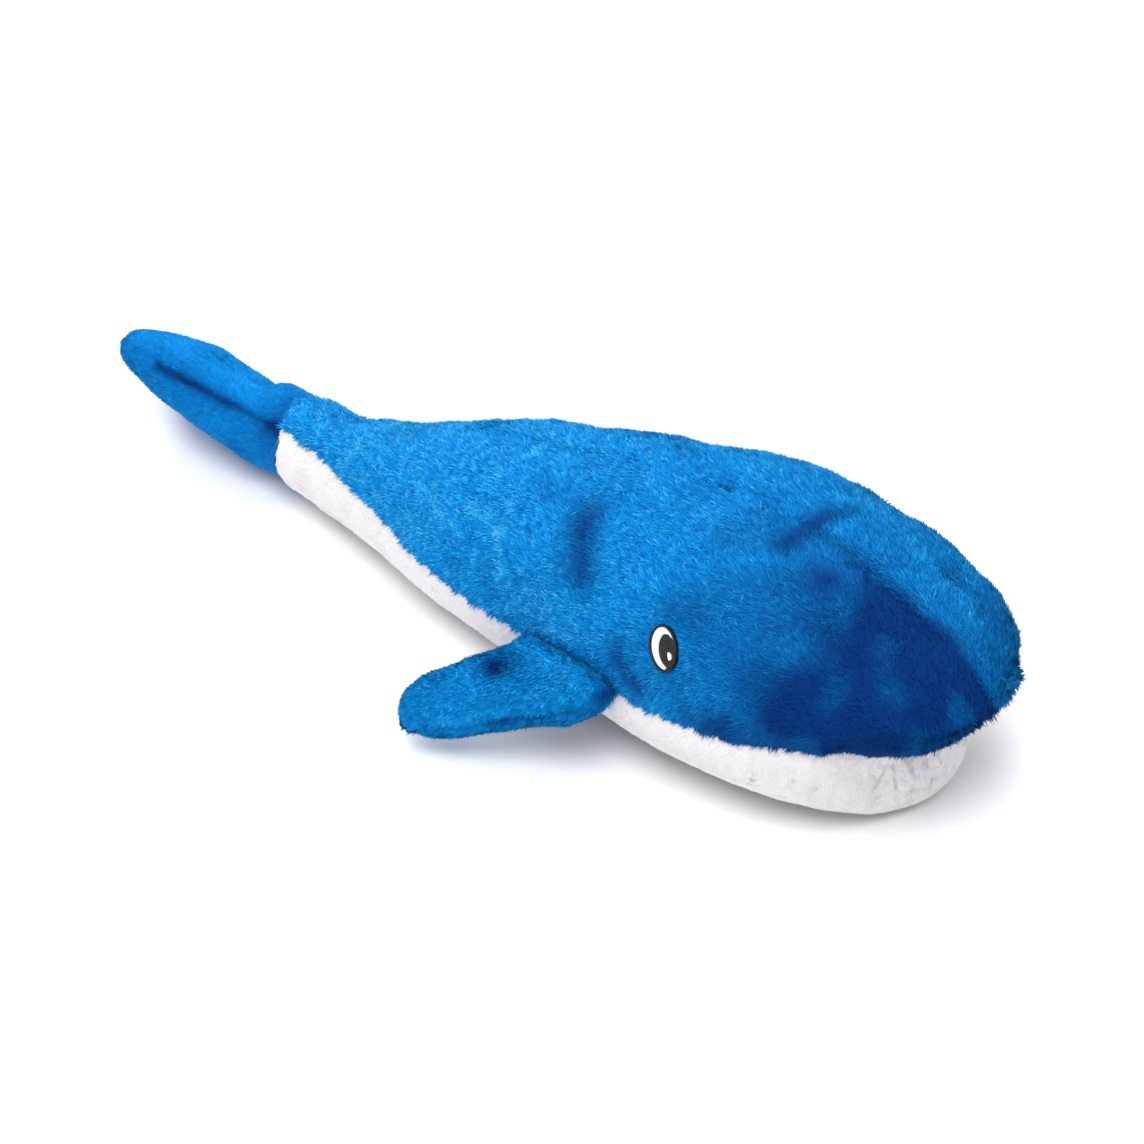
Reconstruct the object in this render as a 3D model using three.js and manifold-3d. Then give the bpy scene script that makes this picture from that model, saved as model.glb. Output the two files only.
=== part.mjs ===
// A stuffed plush whale lying on its belly, built from sewn plush panels over fibre filling.
// Millimetres, +Z up, the head towards +X. The right side of the whale is towards -Y.
// The body, the tail and the flippers are closed forms: each has an outer skin, cut at its seams
// into the panels that are sewn together, and a filling inside the skin.
import * as THREE from 'three';
import { mergeVertices } from 'three/addons/utils/BufferGeometryUtils.js';
import Module from 'manifold-3d';

const wasm = await Module();
wasm.setup();

// Body
const bodyLength = 404;
const bodyHalfWidth = 88.5;
const bodyHeight = 127.4;
const snoutOverhang = 38;
const chinOverhang = 11;
const skinThickness = 3.5;

// Tail, from the seam where the white belly ends
const tailLength = 125;
const tailHalfWidth = 38;
const tailHalfThickness = 24.2;
const tailRise = 7;
const tailSeamRise = 2.5;
const tailBallInset = 1.5;
const tailSmallestHalf = 7;

// Flippers
const flipperLength = 67;
const flipperHalfThickness = 13.2;
const flipperRootRadius = 9.5;
const flipperSeating = 1.5;
const flipperSmallestHalf = 7;

// Embroidered eyes
const eyeHalfHeight = 11.6;
const eyeHalfWidth = 8.3;
const eyeThickness = 1.6;
const eyeProudness = 0.3;
const eyeBorder = 1.1;
const eyeBackBorder = 1.9;
const pupilHalfHeight = 8;
const pupilHalfWidth = 5;
const pupilForward = 2.4;
const pupilDrop = 1.8;
const glintHalfHeight = 1.8;
const glintHalfWidth = 1.2;
const glintForward = 3.4;
const glintDrop = 4;

// Fits
const clearance = 0.3;
const seamGap = 0.3;
const floorCut = 0.5;
const overrun = 12;
const mergeDistance = 0.0001;

// Angles in degrees
const flipperDroop = 24;
const eyeAngle = 25;
const eyeTilt = 31;
const flipperRootTurns = [90, 60, 30];

// How square a rounded section is: 1 is an ellipse and less is squarer.
const bodySideRoundness = 0.85;
const bodyBackRoundness = 0.9;
const bodyBellyRoundness = 0.78;
const pillowSideRoundness = 0.9;
const pillowCrownRoundness = 0.75;

// How fast each overhang fades from the ridge or the belly to the side seams, and how round the
// outlines' notches and corners are.
const snoutPower = 0.6;
const chinPower = 3.5;
const tailNotchPower = 2;
const tailCornerPower = 6;
const flipperCornerPower = 4;

// How finely the forms are made
const bodyRings = 24;
const bodyPoints = 24;
const bodyInnerRings = 16;
const bodyInnerPoints = 16;
const tailPoints = 20;
const flipperPoints = 16;
const ballSides = 36;
const ballRings = 10;
const grooveSides = 24;
const ovalSides = 20;
const placeHalvings = 40;

// Body stations from the tail seam to the middle of the mouth. The first table is shares of the
// body's length, overhangShares and chinShares are shares of the two overhangs, widthShares of the
// half width and the rest of the body's height.
const alongShares = [0, 0.055, 0.122, 0.21, 0.312, 0.452, 0.604, 0.75, 0.862, 0.932, 0.971, 0.993, 1];
const widthShares = [0.346, 0.378, 0.43, 0.517, 0.655, 0.778, 0.897, 1, 0.979, 0.89, 0.755, 0.53, 0];
const backShares = [0.425, 0.42, 0.465, 0.57, 0.702, 0.822, 0.951, 1, 0.94, 0.82, 0.69, 0.55, 0.385];
const seamShares = [0.248, 0.249, 0.259, 0.282, 0.302, 0.329, 0.37, 0.41, 0.442, 0.478, 0.475, 0.435, 0.385];
const bellyShares = [0.019, 0.009, 0, 0, 0, 0, 0, 0, 0, 0, 0, 0.06, 0.385];
const overhangShares = [0, 0, 0, 0, 0, 0, 0, 0, 0.09, 0.36, 0.79, 1, 0];
const chinShares = [0, 0, 0, 0, 0, 0, 0, 0, 0, 0.14, 0.45, 1, 0];
const rollDegrees = [-37.6, -33.9, -24.2, -13.2, -4.9, 0, 0, 0, 0, 0, 0, 0, 0];
const flipperRearShare = 0.523;
const flipperFrontShare = 0.686;
const eyeAlongShare = 0.747;
const eyeStepShare = 0.01;

// Tail stations behind its seam: along is shares of the tail's length, the others of its own sizes.
const tailAlongShares = [0.05, 0.11, 0.2, 0.38, 0.56, 0.74, 0.88, 0.96, 1];
const tailWidthShares = [0.66, 0.7, 0.75, 0.83, 0.91, 0.98, 1, 0.98, 0.94];
const tailThickShares = [0.9, 0.96, 0.95, 0.88, 0.83, 0.79, 0.65, 0.4, 0];
const tailRiseShares = [0, 0, -0.1, -0.08, 0.2, 0.65, 0.95, 1, 1];
const tailNotchShare = 0.24;
const tailCornerShare = 0.12;

// Flipper stations from its root: lead and trail are the places of its two edges, as shares of the
// root's length, and the others are shares of the flipper's length and thickness.
const flipperAlongShares = [0, 0.14, 0.3, 0.48, 0.66, 0.82, 0.93, 1];
const flipperLeadShares = [1, 0.92, 0.79, 0.61, 0.41, 0.2, 0.05, -0.04];
const flipperTrailShares = [0, -0.06, -0.15, -0.28, -0.39, -0.42, -0.38, -0.3];
const flipperThickShares = [0.72, 0.88, 1, 0.98, 0.9, 0.74, 0.48, 0];
const flipperCornerShare = 0.06;

// Materials
function plush(color) {
  return new THREE.MeshStandardMaterial({ color, roughness: 0.95, metalness: 0 });
}
const bluePlush = plush('#0a7ad0');
const whitePlush = plush('#f2eff0');
const fibreFill = plush('#f7f6f2');
const blackThread = plush('#101014');
const whiteThread = plush('#f4f4f6');

// A smooth value between a table's entries that never overshoots them, at a place from 0 to 1.
function between(table, place) {
  const last = table.length - 1;
  const at = THREE.MathUtils.clamp(place, 0, 1) * last;
  const i = Math.min(Math.floor(at), last - 1);
  const step = (k) => table[k + 1] - table[k];
  const slope = (k) => {
    if (k === 0) return step(0);
    if (k === last) return step(last - 1);
    const [a, b] = [step(k - 1), step(k)];
    return a * b > 0 ? (2 * a * b) / (a + b) : 0;
  };
  const t = at - i;
  const rise = t * t * (3 - 2 * t);
  return table[i] + step(i) * rise + slope(i) * t * (1 - t) * (1 - t) - slope(i + 1) * t * t * (1 - t);
}

// The power of a sine or cosine that squares a section off, with its sign kept.
function squared(value, power) {
  return Math.sign(value) * Math.abs(value) ** power;
}

// A closed mesh through rings of points. An end ring may be closed to a point or a line, where its
// points coincide two by two, and an open end gets a flat cap.
function loft(rings) {
  const points = rings.flat();
  const count = rings[0].length;
  const faces = [];
  for (let i = 0; i + 1 < rings.length; i += 1) {
    for (let j = 0; j < count; j += 1) {
      const next = (j + 1) % count;
      const [a, b, c, d] = [i * count + j, i * count + next, (i + 1) * count + next, (i + 1) * count + j];
      faces.push([a, b, c], [a, c, d]);
    }
  }
  for (const [first, turned] of [[0, true], [(rings.length - 1) * count, false]]) {
    const ring = points.slice(first, first + count);
    if (ring.every((p, j) => p.distanceTo(ring[(count - j) % count]) < mergeDistance)) continue;
    const middle = ring.reduce((sum, p) => sum.add(p), new THREE.Vector3()).divideScalar(count);
    points.push(middle);
    for (let j = 0; j < count; j += 1) {
      const face = [first + j, first + ((j + 1) % count), points.length - 1];
      faces.push(turned ? [face[1], face[0], face[2]] : face);
    }
  }
  const geometry = new THREE.BufferGeometry();
  geometry.setAttribute('position', new THREE.Float32BufferAttribute(points.flatMap((p) => p.toArray()), 3));
  geometry.setIndex(faces.flat());
  return geometry;
}

// A closed geometry with its shared points merged and its faces turned outwards.
function closed(geometry) {
  const bare = geometry.clone();
  bare.deleteAttribute('normal');
  bare.deleteAttribute('uv');
  const merged = mergeVertices(bare, mergeDistance);
  const places = merged.attributes.position;
  const corner = (k) => new THREE.Vector3().fromBufferAttribute(places, k);
  const kept = [];
  let volume = 0;
  for (let i = 0; i < merged.index.count; i += 3) {
    const [a, b, c] = [0, 1, 2].map((k) => merged.index.getX(i + k));
    if (a === b || b === c || c === a) continue;
    kept.push([a, b, c]);
    volume += corner(a).dot(corner(b).cross(corner(c)));
  }
  merged.setIndex((volume < 0 ? kept.map(([a, b, c]) => [a, c, b]) : kept).flat());
  return merged;
}

function solid(geometry) {
  const form = closed(geometry);
  return new wasm.Manifold(new wasm.Mesh({
    numProp: 3,
    vertProperties: new Float32Array(form.attributes.position.array),
    triVerts: new Uint32Array(form.index.array),
  }));
}

// A closed geometry with every point moved inwards, square to the surface there.
function sunk(geometry, depth) {
  const form = closed(geometry);
  form.computeVertexNormals();
  const { position, normal } = form.attributes;
  for (let i = 0; i < position.count; i += 1) {
    const at = new THREE.Vector3().fromBufferAttribute(position, i);
    at.addScaledVector(new THREE.Vector3().fromBufferAttribute(normal, i), -depth);
    position.setXYZ(i, at.x, at.y, at.z);
  }
  return form;
}

function mesh(name, shape, material) {
  const { vertProperties, triVerts } = shape.getMesh();
  const geometry = new THREE.BufferGeometry();
  geometry.setAttribute('position', new THREE.Float32BufferAttribute(vertProperties, 3));
  geometry.setIndex([...triVerts]);
  geometry.computeVertexNormals();
  const piece = new THREE.Mesh(geometry, material);
  piece.name = name;
  return piece;
}

// A box between two corners, for cuts.
function block(low, high) {
  const size = new THREE.Vector3().subVectors(high, low);
  const geometry = new THREE.BoxGeometry(size.x, size.y, size.z);
  const middle = new THREE.Vector3().addVectors(low, high).multiplyScalar(0.5);
  return solid(geometry.translate(middle.x, middle.y, middle.z));
}

// The body's cross-section at a place from 0 at the tail seam to 1 at the mouth.
function section(place) {
  const back = bodyHeight * between(backShares, place);
  const belly = bodyHeight * between(bellyShares, place);
  return {
    x: bodyLength * between(alongShares, place),
    halfWidth: bodyHalfWidth * between(widthShares, place),
    back,
    belly,
    seam: bodyHeight * between(seamShares, place),
    middle: (back + belly) / 2,
    roll: THREE.MathUtils.degToRad(between(rollDegrees, place)),
    overhang: snoutOverhang * between(overhangShares, place),
    chin: chinOverhang * between(chinShares, place),
  };
}

// A point of a section, given across and height in the section before it rolls about its middle.
function placed(cut, x, across, height) {
  const up = height - cut.middle;
  return new THREE.Vector3(
    x,
    across * Math.cos(cut.roll) - up * Math.sin(cut.roll),
    across * Math.sin(cut.roll) + up * Math.cos(cut.roll) + cut.middle,
  );
}

// A point of the body's surface. The angle is 0 on the right side seam, a quarter turn on the ridge
// of the back and three quarters on the belly.
function bodyPoint(place, angle) {
  const cut = section(place);
  const [c, s] = [Math.cos(angle), Math.sin(angle)];
  const across = -cut.halfWidth * squared(c, bodySideRoundness);
  const height = s >= 0
    ? (cut.back - cut.seam) * squared(s, bodyBackRoundness)
    : (cut.seam - cut.belly) * squared(s, bodyBellyRoundness);
  const x = cut.x + cut.overhang * Math.max(s, 0) ** snoutPower
    + cut.chin * Math.max(-s, 0) ** chinPower;
  return placed(cut, x, across, cut.seam + height);
}

// The body's form. Inner forms start behind the tail seam, so that a skin stays open there.
function bodyForm(inset, ringCount, pointCount) {
  const rings = [];
  for (let i = 0; i <= ringCount; i += 1) {
    const ring = [];
    for (let j = 0; j < pointCount; j += 1) {
      ring.push(bodyPoint(i / ringCount, (j / pointCount) * 2 * Math.PI));
    }
    rings.push(ring);
  }
  if (inset > 0) rings.unshift(rings[0].map((p) => new THREE.Vector3(p.x - overrun, p.y, p.z)));
  return solid(sunk(loft(rings), inset));
}

// A block that follows the body's sections. Its outline in a section comes from a function of the
// section, as places across it and heights.
function sectionBlock(outline) {
  const rings = [];
  const steps = 2 * (alongShares.length - 1);
  for (let i = -1; i <= steps + 1; i += 1) {
    const cut = section(i / steps);
    const beyond = Math.min(i, 0) + Math.max(i - steps, 0);
    const x = cut.x + beyond * (snoutOverhang + overrun);
    rings.push(outline(cut).map(([across, height]) => placed(cut, x, across, height)));
  }
  return solid(loft(rings));
}

// The space above or below the side seams, short of them by half the gap between panels.
function seamBlock(above) {
  const [wide, side] = [2 * bodyHalfWidth, above ? 1 : -1];
  return sectionBlock((cut) => {
    const [near, away] = [cut.seam + (side * seamGap) / 2, cut.seam + side * 2 * bodyHeight];
    return [[-wide, near], [0, near], [wide, near], [wide, away], [0, away], [-wide, away]];
  });
}

// The space on one side of the ridge seam: across is negative on the right side of the whale.
function ridgeBlock(side) {
  const [inner, outer] = [(side * seamGap) / 2, side * 2 * bodyHalfWidth];
  const [low, high] = [-bodyHeight, 2 * bodyHeight];
  return sectionBlock(() => [[inner, low], [inner, high], [outer, high], [outer, low]]);
}

// The place on the body, from 0 to 1, that lies at a share of the body's length.
function placeAt(share) {
  let [low, high] = [0, 1];
  for (let i = 0; i < placeHalvings; i += 1) {
    const middle = (low + high) / 2;
    if (between(alongShares, middle) < share) low = middle;
    else high = middle;
  }
  return low;
}

// A closed form like a pillow, with an outline between two edges. Each row holds how far out it
// lies, its two edges, its half thickness and its rise, and reach shortens it across the outline.
function pillow(rows, pointCount, inset, smallestHalf, reach) {
  const rings = rows.map((row) => {
    const half = row.half * (1 - inset / Math.max(row.half, smallestHalf));
    const [low, high] = [row.low + inset, row.high - inset];
    const ring = [];
    for (let j = 0; j < pointCount; j += 1) {
      const angle = (j / pointCount) * 2 * Math.PI;
      const side = -squared(Math.cos(angle), pillowSideRoundness);
      const along = row.out * reach(side) - inset * Math.sign(row.out);
      ring.push(new THREE.Vector3(along, (low + high) / 2 + (side * (high - low)) / 2,
        row.rise + half * squared(Math.sin(angle), pillowCrownRoundness)));
    }
    return ring;
  });
  return solid(loft(rings));
}

// Tail, in a frame at the middle of its seam that is rolled with the body's last section.
// It turns on a ball that sits in a socket at the body's end.
const tailSection = section(0);
const ballRadius = (tailSection.back - tailSection.belly) / 2 - tailBallInset;
const ballHalfWidth = tailSection.halfWidth - tailBallInset;

// The ball's facets run round the hinge line, which is y here, so that it turns in its socket.
function ball(growth) {
  const geometry = new THREE.SphereGeometry(1, ballSides, ballRings);
  return solid(geometry.scale(ballRadius + growth, ballHalfWidth + growth, ballRadius + growth));
}

function tailForm(inset) {
  const rows = tailAlongShares.map((share, i) => ({
    out: tailLength * share,
    low: -tailHalfWidth * tailWidthShares[i],
    high: tailHalfWidth * tailWidthShares[i],
    half: tailHalfThickness * tailThickShares[i],
    rise: tailRise * tailRiseShares[i],
  }));
  const reach = (side) => 1 - tailNotchShare * (1 - Math.abs(side)) ** tailNotchPower
    - tailCornerShare * Math.abs(side) ** tailCornerPower;
  const lobes = pillow(rows, tailPoints, inset, tailSmallestHalf, reach).mirror([1, 0, 0]);
  return lobes.add(ball(-inset));
}

function makeTail() {
  const tail = new THREE.Group();
  const far = tailLength + overrun;
  const corner = (x, y, z) => new THREE.Vector3(x, y, z);
  const skin = tailForm(0).subtract(tailForm(skinThickness));
  const above = block(corner(-far, -far, tailSeamRise + seamGap / 2), corner(-clearance, far, far));
  const below = block(corner(-far, -far, -far), corner(-clearance, far, tailSeamRise - seamGap / 2));
  const ahead = block(corner(0, -far, -far), corner(far, far, far));
  tail.add(mesh('tail_upper_panel', skin.intersect(above), bluePlush));
  tail.add(mesh('tail_lower_panel', skin.intersect(below), bluePlush));
  const filling = ball(0).intersect(ahead).add(tailForm(skinThickness + clearance));
  tail.add(mesh('tail_filling', filling, fibreFill));
  tail.position.set(0, 0, tailSection.middle);
  tail.rotation.x = tailSection.roll;
  return tail;
}

// The socket that the body keeps clear of the tail's ball.
function tailSocket() {
  const turned = new THREE.Matrix4().makeRotationX(tailSection.roll);
  turned.setPosition(0, 0, tailSection.middle);
  return ball(clearance).transform(turned.elements);
}

// The frame of a flipper: its origin in the middle of its hinge line, x outwards, z upwards.
// The side is 1 for the right flipper and -1 for the left.
function flipperFrame(side) {
  const seamAngle = side > 0 ? 0 : Math.PI;
  const rear = bodyPoint(placeAt(flipperRearShare), seamAngle);
  const front = bodyPoint(placeAt(flipperFrontShare), seamAngle);
  const along = new THREE.Vector3().subVectors(front, rear);
  const length = along.length();
  const forward = along.normalize();
  const level = new THREE.Vector3(0, 0, 1).cross(forward).multiplyScalar(-side).normalize();
  const middle = new THREE.Vector3().addVectors(rear, front).multiplyScalar(0.5);
  middle.addScaledVector(level, flipperRootRadius - flipperSeating + clearance);
  const droop = THREE.MathUtils.degToRad(flipperDroop) * side;
  const outward = level.clone().applyAxisAngle(forward, droop);
  const sideways = forward.clone().multiplyScalar(side);
  const upward = new THREE.Vector3().crossVectors(outward, sideways);
  const frame = new THREE.Matrix4().makeBasis(outward, sideways, upward).setPosition(middle);
  return { frame, length, middle, forward };
}

function flipperForm(side, rootLength, inset) {
  const edge = (share) => side * rootLength * (share - 0.5);
  const rows = [];
  for (const turn of flipperRootTurns) {
    const angle = THREE.MathUtils.degToRad(turn);
    const [out, half] = [-flipperRootRadius * Math.sin(angle), flipperRootRadius * Math.cos(angle)];
    rows.push({ out, half, at: 0 });
  }
  flipperAlongShares.forEach((share, at) => {
    rows.push({ out: flipperLength * share, half: flipperHalfThickness * flipperThickShares[at], at });
  });
  for (const row of rows) {
    const edges = [edge(flipperTrailShares[row.at]), edge(flipperLeadShares[row.at])];
    row.low = Math.min(...edges);
    row.high = Math.max(...edges);
    row.rise = 0;
  }
  rows[0].half = 0;
  const reach = (across) => 1 - flipperCornerShare * Math.abs(across) ** flipperCornerPower;
  return pillow(rows, flipperPoints, inset, flipperSmallestHalf, reach);
}

function makeFlipper(name, side) {
  const { frame, length } = flipperFrame(side);
  const flipper = new THREE.Group();
  const far = flipperLength + overrun;
  const corner = (x, y, z) => new THREE.Vector3(x, y, z);
  const skin = flipperForm(side, length, 0).subtract(flipperForm(side, length, skinThickness));
  const above = block(corner(-far, -far * 2, seamGap / 2), corner(far * 2, far * 2, far));
  const below = block(corner(-far, -far * 2, -far), corner(far * 2, far * 2, -seamGap / 2));
  flipper.add(mesh(`${name}_upper_panel`, skin.intersect(above), bluePlush));
  flipper.add(mesh(`${name}_lower_panel`, skin.intersect(below), bluePlush));
  flipper.add(mesh(`${name}_filling`, flipperForm(side, length, skinThickness + clearance), fibreFill));
  flipper.applyMatrix4(frame);
  return flipper;
}

// The groove along the side seam that a flipper's round root sits in.
function flipperGroove(side) {
  const { length, middle, forward } = flipperFrame(side);
  const radius = flipperRootRadius + clearance;
  const geometry = new THREE.CylinderGeometry(radius, radius, length + 2 * clearance, grooveSides);
  const turn = new THREE.Quaternion().setFromUnitVectors(new THREE.Vector3(0, 1, 0), forward);
  geometry.applyQuaternion(turn).translate(middle.x, middle.y, middle.z);
  return solid(geometry);
}

// The frame of an eye on the body's surface: y towards the back's ridge, z out of the surface.
function eyeFrame(side) {
  const place = placeAt(eyeAlongShare);
  const turn = THREE.MathUtils.degToRad(eyeAngle);
  const angle = side > 0 ? turn : Math.PI - turn;
  const at = bodyPoint(place, angle);
  const ahead = bodyPoint(place + eyeStepShare, angle).sub(bodyPoint(place - eyeStepShare, angle));
  const step = side * eyeStepShare;
  const upward = bodyPoint(place, angle + step).sub(bodyPoint(place, angle - step));
  const out = new THREE.Vector3().crossVectors(ahead, upward).multiplyScalar(side).normalize();
  const top = upward.addScaledVector(out, -upward.dot(out)).normalize();
  top.applyAxisAngle(out, THREE.MathUtils.degToRad(eyeTilt) * side);
  const across = new THREE.Vector3().crossVectors(top, out);
  return new THREE.Matrix4().makeBasis(across, top, out).setPosition(at);
}

// A flat oval block in an eye's frame, from its floor upwards.
function oval(halfWidth, halfHeight, forward, drop, floor, top) {
  const geometry = new THREE.CylinderGeometry(1, 1, top - floor, ovalSides);
  geometry.rotateX(Math.PI / 2).scale(halfWidth, halfHeight, 1);
  return solid(geometry.translate(forward, -drop, (floor + top) / 2));
}

function eyePocket(side) {
  const floor = eyeProudness - eyeThickness - clearance;
  const [halfWidth, halfHeight] = [eyeHalfWidth + clearance, eyeHalfHeight + clearance];
  return oval(halfWidth, halfHeight, 0, 0, floor, overrun).transform(eyeFrame(side).elements);
}

function makeEye(name, side) {
  const eye = new THREE.Group();
  const floor = eyeProudness - eyeThickness;
  const layer = (halfWidth, halfHeight, forward, drop, growth) => {
    const [low, high] = [floor - growth, eyeProudness + growth];
    return oval(halfWidth + growth, halfHeight + growth, forward * side, drop, low, high);
  };
  const border = (eyeBackBorder + eyeBorder) / 2;
  const shift = (eyeBackBorder - eyeBorder) / 2;
  const field = (growth) => layer(eyeHalfWidth - border, eyeHalfHeight - eyeBorder, shift, 0, growth);
  const pupil = (growth) => layer(pupilHalfWidth, pupilHalfHeight, pupilForward, pupilDrop, growth);
  const glint = (growth) => layer(glintHalfWidth, glintHalfHeight, glintForward, glintDrop, growth);
  const outline = layer(eyeHalfWidth, eyeHalfHeight, 0, 0, 0).subtract(field(clearance));
  eye.add(mesh(`${name}_outline`, outline.subtract(pupil(clearance)), blackThread));
  eye.add(mesh(`${name}_white`, field(0).subtract(pupil(clearance)), whiteThread));
  eye.add(mesh(`${name}_pupil`, pupil(0).subtract(glint(clearance)), blackThread));
  eye.add(mesh(`${name}_glint`, glint(0), whiteThread));
  eye.applyMatrix4(eyeFrame(side));
  return eye;
}

function makeBody() {
  const body = new THREE.Group();
  const far = 2 * bodyLength;
  const grooves = flipperGroove(1).add(flipperGroove(-1));
  const cuts = grooves.add(tailSocket());
  const inner = bodyForm(skinThickness, bodyInnerRings, bodyInnerPoints);
  const skin = bodyForm(0, bodyRings, bodyPoints).subtract(inner).subtract(cuts);
  const under = block(new THREE.Vector3(-far, -far, -far), new THREE.Vector3(far, far, floorCut));
  const back = skin.intersect(seamBlock(true));
  const right = back.intersect(ridgeBlock(-1)).subtract(eyePocket(1));
  const left = back.intersect(ridgeBlock(1)).subtract(eyePocket(-1));
  const belly = skin.intersect(seamBlock(false)).subtract(under);
  const filling = bodyForm(skinThickness + clearance, bodyInnerRings, bodyInnerPoints).subtract(cuts);
  const inside = block(new THREE.Vector3(0, -far, -far), new THREE.Vector3(far, far, far));
  body.add(mesh('back_panel_right', right, bluePlush));
  body.add(mesh('back_panel_left', left, bluePlush));
  body.add(mesh('belly_panel', belly, whitePlush));
  body.add(mesh('body_filling', filling.intersect(inside), fibreFill));
  return body;
}

const whale = new THREE.Group();
whale.add(makeBody());
whale.add(makeEye('eye_right', 1));
whale.add(makeEye('eye_left', -1));
whale.add(makeFlipper('flipper_right', 1));
whale.add(makeFlipper('flipper_left', -1));
whale.add(makeTail());

// The origin is on the floor, below the middle of the whale.
whale.updateMatrixWorld(true);
const reach = new THREE.Box3().setFromObject(whale, true);
whale.position.set(-(reach.min.x + reach.max.x) / 2, -(reach.min.y + reach.max.y) / 2, -reach.min.z);
whale.updateMatrixWorld(true);

export default whale;
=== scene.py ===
"""A stuffed plush whale: sewn plush panels with a short pile, fibre filling and embroidered eyes.

Each form is a surface worked out from two numbers, the place along it from 0 to 1 and the angle
round it, and each panel is the part of a surface between two seams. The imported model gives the
seam and the floor that the forms are set on."""
import math
from collections import namedtuple

import bpy
import numpy as np
from mathutils import Matrix, Vector


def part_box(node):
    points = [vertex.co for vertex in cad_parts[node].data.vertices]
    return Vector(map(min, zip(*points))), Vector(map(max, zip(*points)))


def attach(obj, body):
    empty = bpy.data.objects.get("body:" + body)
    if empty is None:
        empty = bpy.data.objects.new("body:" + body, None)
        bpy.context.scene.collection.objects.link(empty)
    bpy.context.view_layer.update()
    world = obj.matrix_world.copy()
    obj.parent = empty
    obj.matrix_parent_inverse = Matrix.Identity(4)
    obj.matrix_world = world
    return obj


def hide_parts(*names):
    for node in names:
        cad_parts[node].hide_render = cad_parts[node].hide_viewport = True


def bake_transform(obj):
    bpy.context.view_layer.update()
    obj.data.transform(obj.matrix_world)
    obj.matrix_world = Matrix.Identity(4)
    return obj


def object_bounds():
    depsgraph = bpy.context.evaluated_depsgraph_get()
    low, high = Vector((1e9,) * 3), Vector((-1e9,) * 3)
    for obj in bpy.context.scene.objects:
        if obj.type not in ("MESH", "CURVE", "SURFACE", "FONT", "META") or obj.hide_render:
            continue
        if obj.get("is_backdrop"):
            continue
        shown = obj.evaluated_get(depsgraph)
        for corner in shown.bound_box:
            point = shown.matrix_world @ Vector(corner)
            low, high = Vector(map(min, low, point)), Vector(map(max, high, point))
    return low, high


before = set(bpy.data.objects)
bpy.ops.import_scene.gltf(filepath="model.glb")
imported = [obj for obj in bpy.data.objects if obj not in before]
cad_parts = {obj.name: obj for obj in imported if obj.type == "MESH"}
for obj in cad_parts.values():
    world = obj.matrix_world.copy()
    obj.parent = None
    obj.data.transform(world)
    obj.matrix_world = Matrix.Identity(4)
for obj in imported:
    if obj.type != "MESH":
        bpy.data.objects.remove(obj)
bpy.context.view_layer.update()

MM = 0.001

# Camera, as the photograph was taken
camera_azimuth = 38.878
camera_elevation = 36.659
camera_roll = 0.625
camera_distance = 2.21583
camera_target = Vector((0.015675, 0.006568, 0.02135))
camera_lens = 135.76
camera_sensor = 36.0

# Body
body_length = 404 * MM
body_half_width = 88.5 * MM
body_height = 127.4 * MM
snout_overhang = 38 * MM
chin_overhang = 11 * MM
floor_cut = 0.5 * MM
body_side_roundness = 0.85
body_back_roundness = 0.9
body_belly_roundness = 0.78
snout_power = 0.6
chin_power = 3.5
along_shares = [0, 0.055, 0.122, 0.21, 0.312, 0.452, 0.604, 0.75, 0.862, 0.932, 0.971, 0.993, 1]
width_shares = [0.346, 0.378, 0.43, 0.517, 0.655, 0.778, 0.897, 1, 0.979, 0.89, 0.755, 0.53, 0]
back_shares = [0.425, 0.42, 0.465, 0.57, 0.702, 0.822, 0.951, 1, 0.94, 0.82, 0.69, 0.55, 0.385]
seam_shares = [
    0.248, 0.249, 0.259, 0.282, 0.302, 0.329, 0.37,
    0.41, 0.442, 0.478, 0.475, 0.435, 0.385,
]
belly_shares = [0.019, 0.009, 0, 0, 0, 0, 0, 0, 0, 0, 0, 0.06, 0.385]
overhang_shares = [0, 0, 0, 0, 0, 0, 0, 0, 0.09, 0.36, 0.79, 1, 0]
chin_shares = [0, 0, 0, 0, 0, 0, 0, 0, 0, 0.14, 0.45, 1, 0]
roll_degrees = [-37.6, -33.9, -24.2, -13.2, -4.9, 0, 0, 0, 0, 0, 0, 0, 0]

# Tail, behind the seam where the white belly ends
tail_length = 125 * MM
tail_half_width = 38 * MM
tail_half_thickness = 24.2 * MM
tail_rise = 7 * MM
tail_along_shares = [0, 0.05, 0.11, 0.2, 0.38, 0.56, 0.74, 0.88, 0.96, 1]
tail_width_shares = [0.78, 0.67, 0.69, 0.75, 0.83, 0.91, 0.98, 1, 0.98, 0.94]
tail_thick_shares = [1.05, 0.9, 0.94, 0.95, 0.88, 0.83, 0.79, 0.65, 0.4, 0]
tail_rise_shares = [0, 0, 0, -0.1, -0.08, 0.2, 0.65, 0.95, 1, 1]
tail_notch_share = 0.24
tail_corner_share = 0.12
tail_bend_length = 30 * MM

# Flippers
flipper_length = 67 * MM
flipper_half_thickness = 13.2 * MM
flipper_root_radius = 9.5 * MM
flipper_seating = 1.2 * MM
flipper_droop = 24
flipper_rear_share = 0.523
flipper_front_share = 0.686
flipper_along_shares = [-0.142, -0.12, -0.07, 0, 0.14, 0.3, 0.48, 0.66, 0.82, 0.93, 1]
flipper_lead_shares = [1, 1, 1, 1, 0.92, 0.79, 0.61, 0.41, 0.2, 0.05, -0.04]
flipper_trail_shares = [0, 0, 0, 0, -0.06, -0.15, -0.28, -0.39, -0.42, -0.38, -0.3]
flipper_thick_shares = [0, 0.36, 0.62, 0.72, 0.88, 1, 0.98, 0.9, 0.74, 0.48, 0]
flipper_corner_share = 0.06
flipper_bend_length = 24 * MM

pillow_side_roundness = 0.9
pillow_crown_roundness = 0.75

# Places of the eyes
eye_along_share = 0.747
eye_angle = 25
eye_tilt = 31

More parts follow.
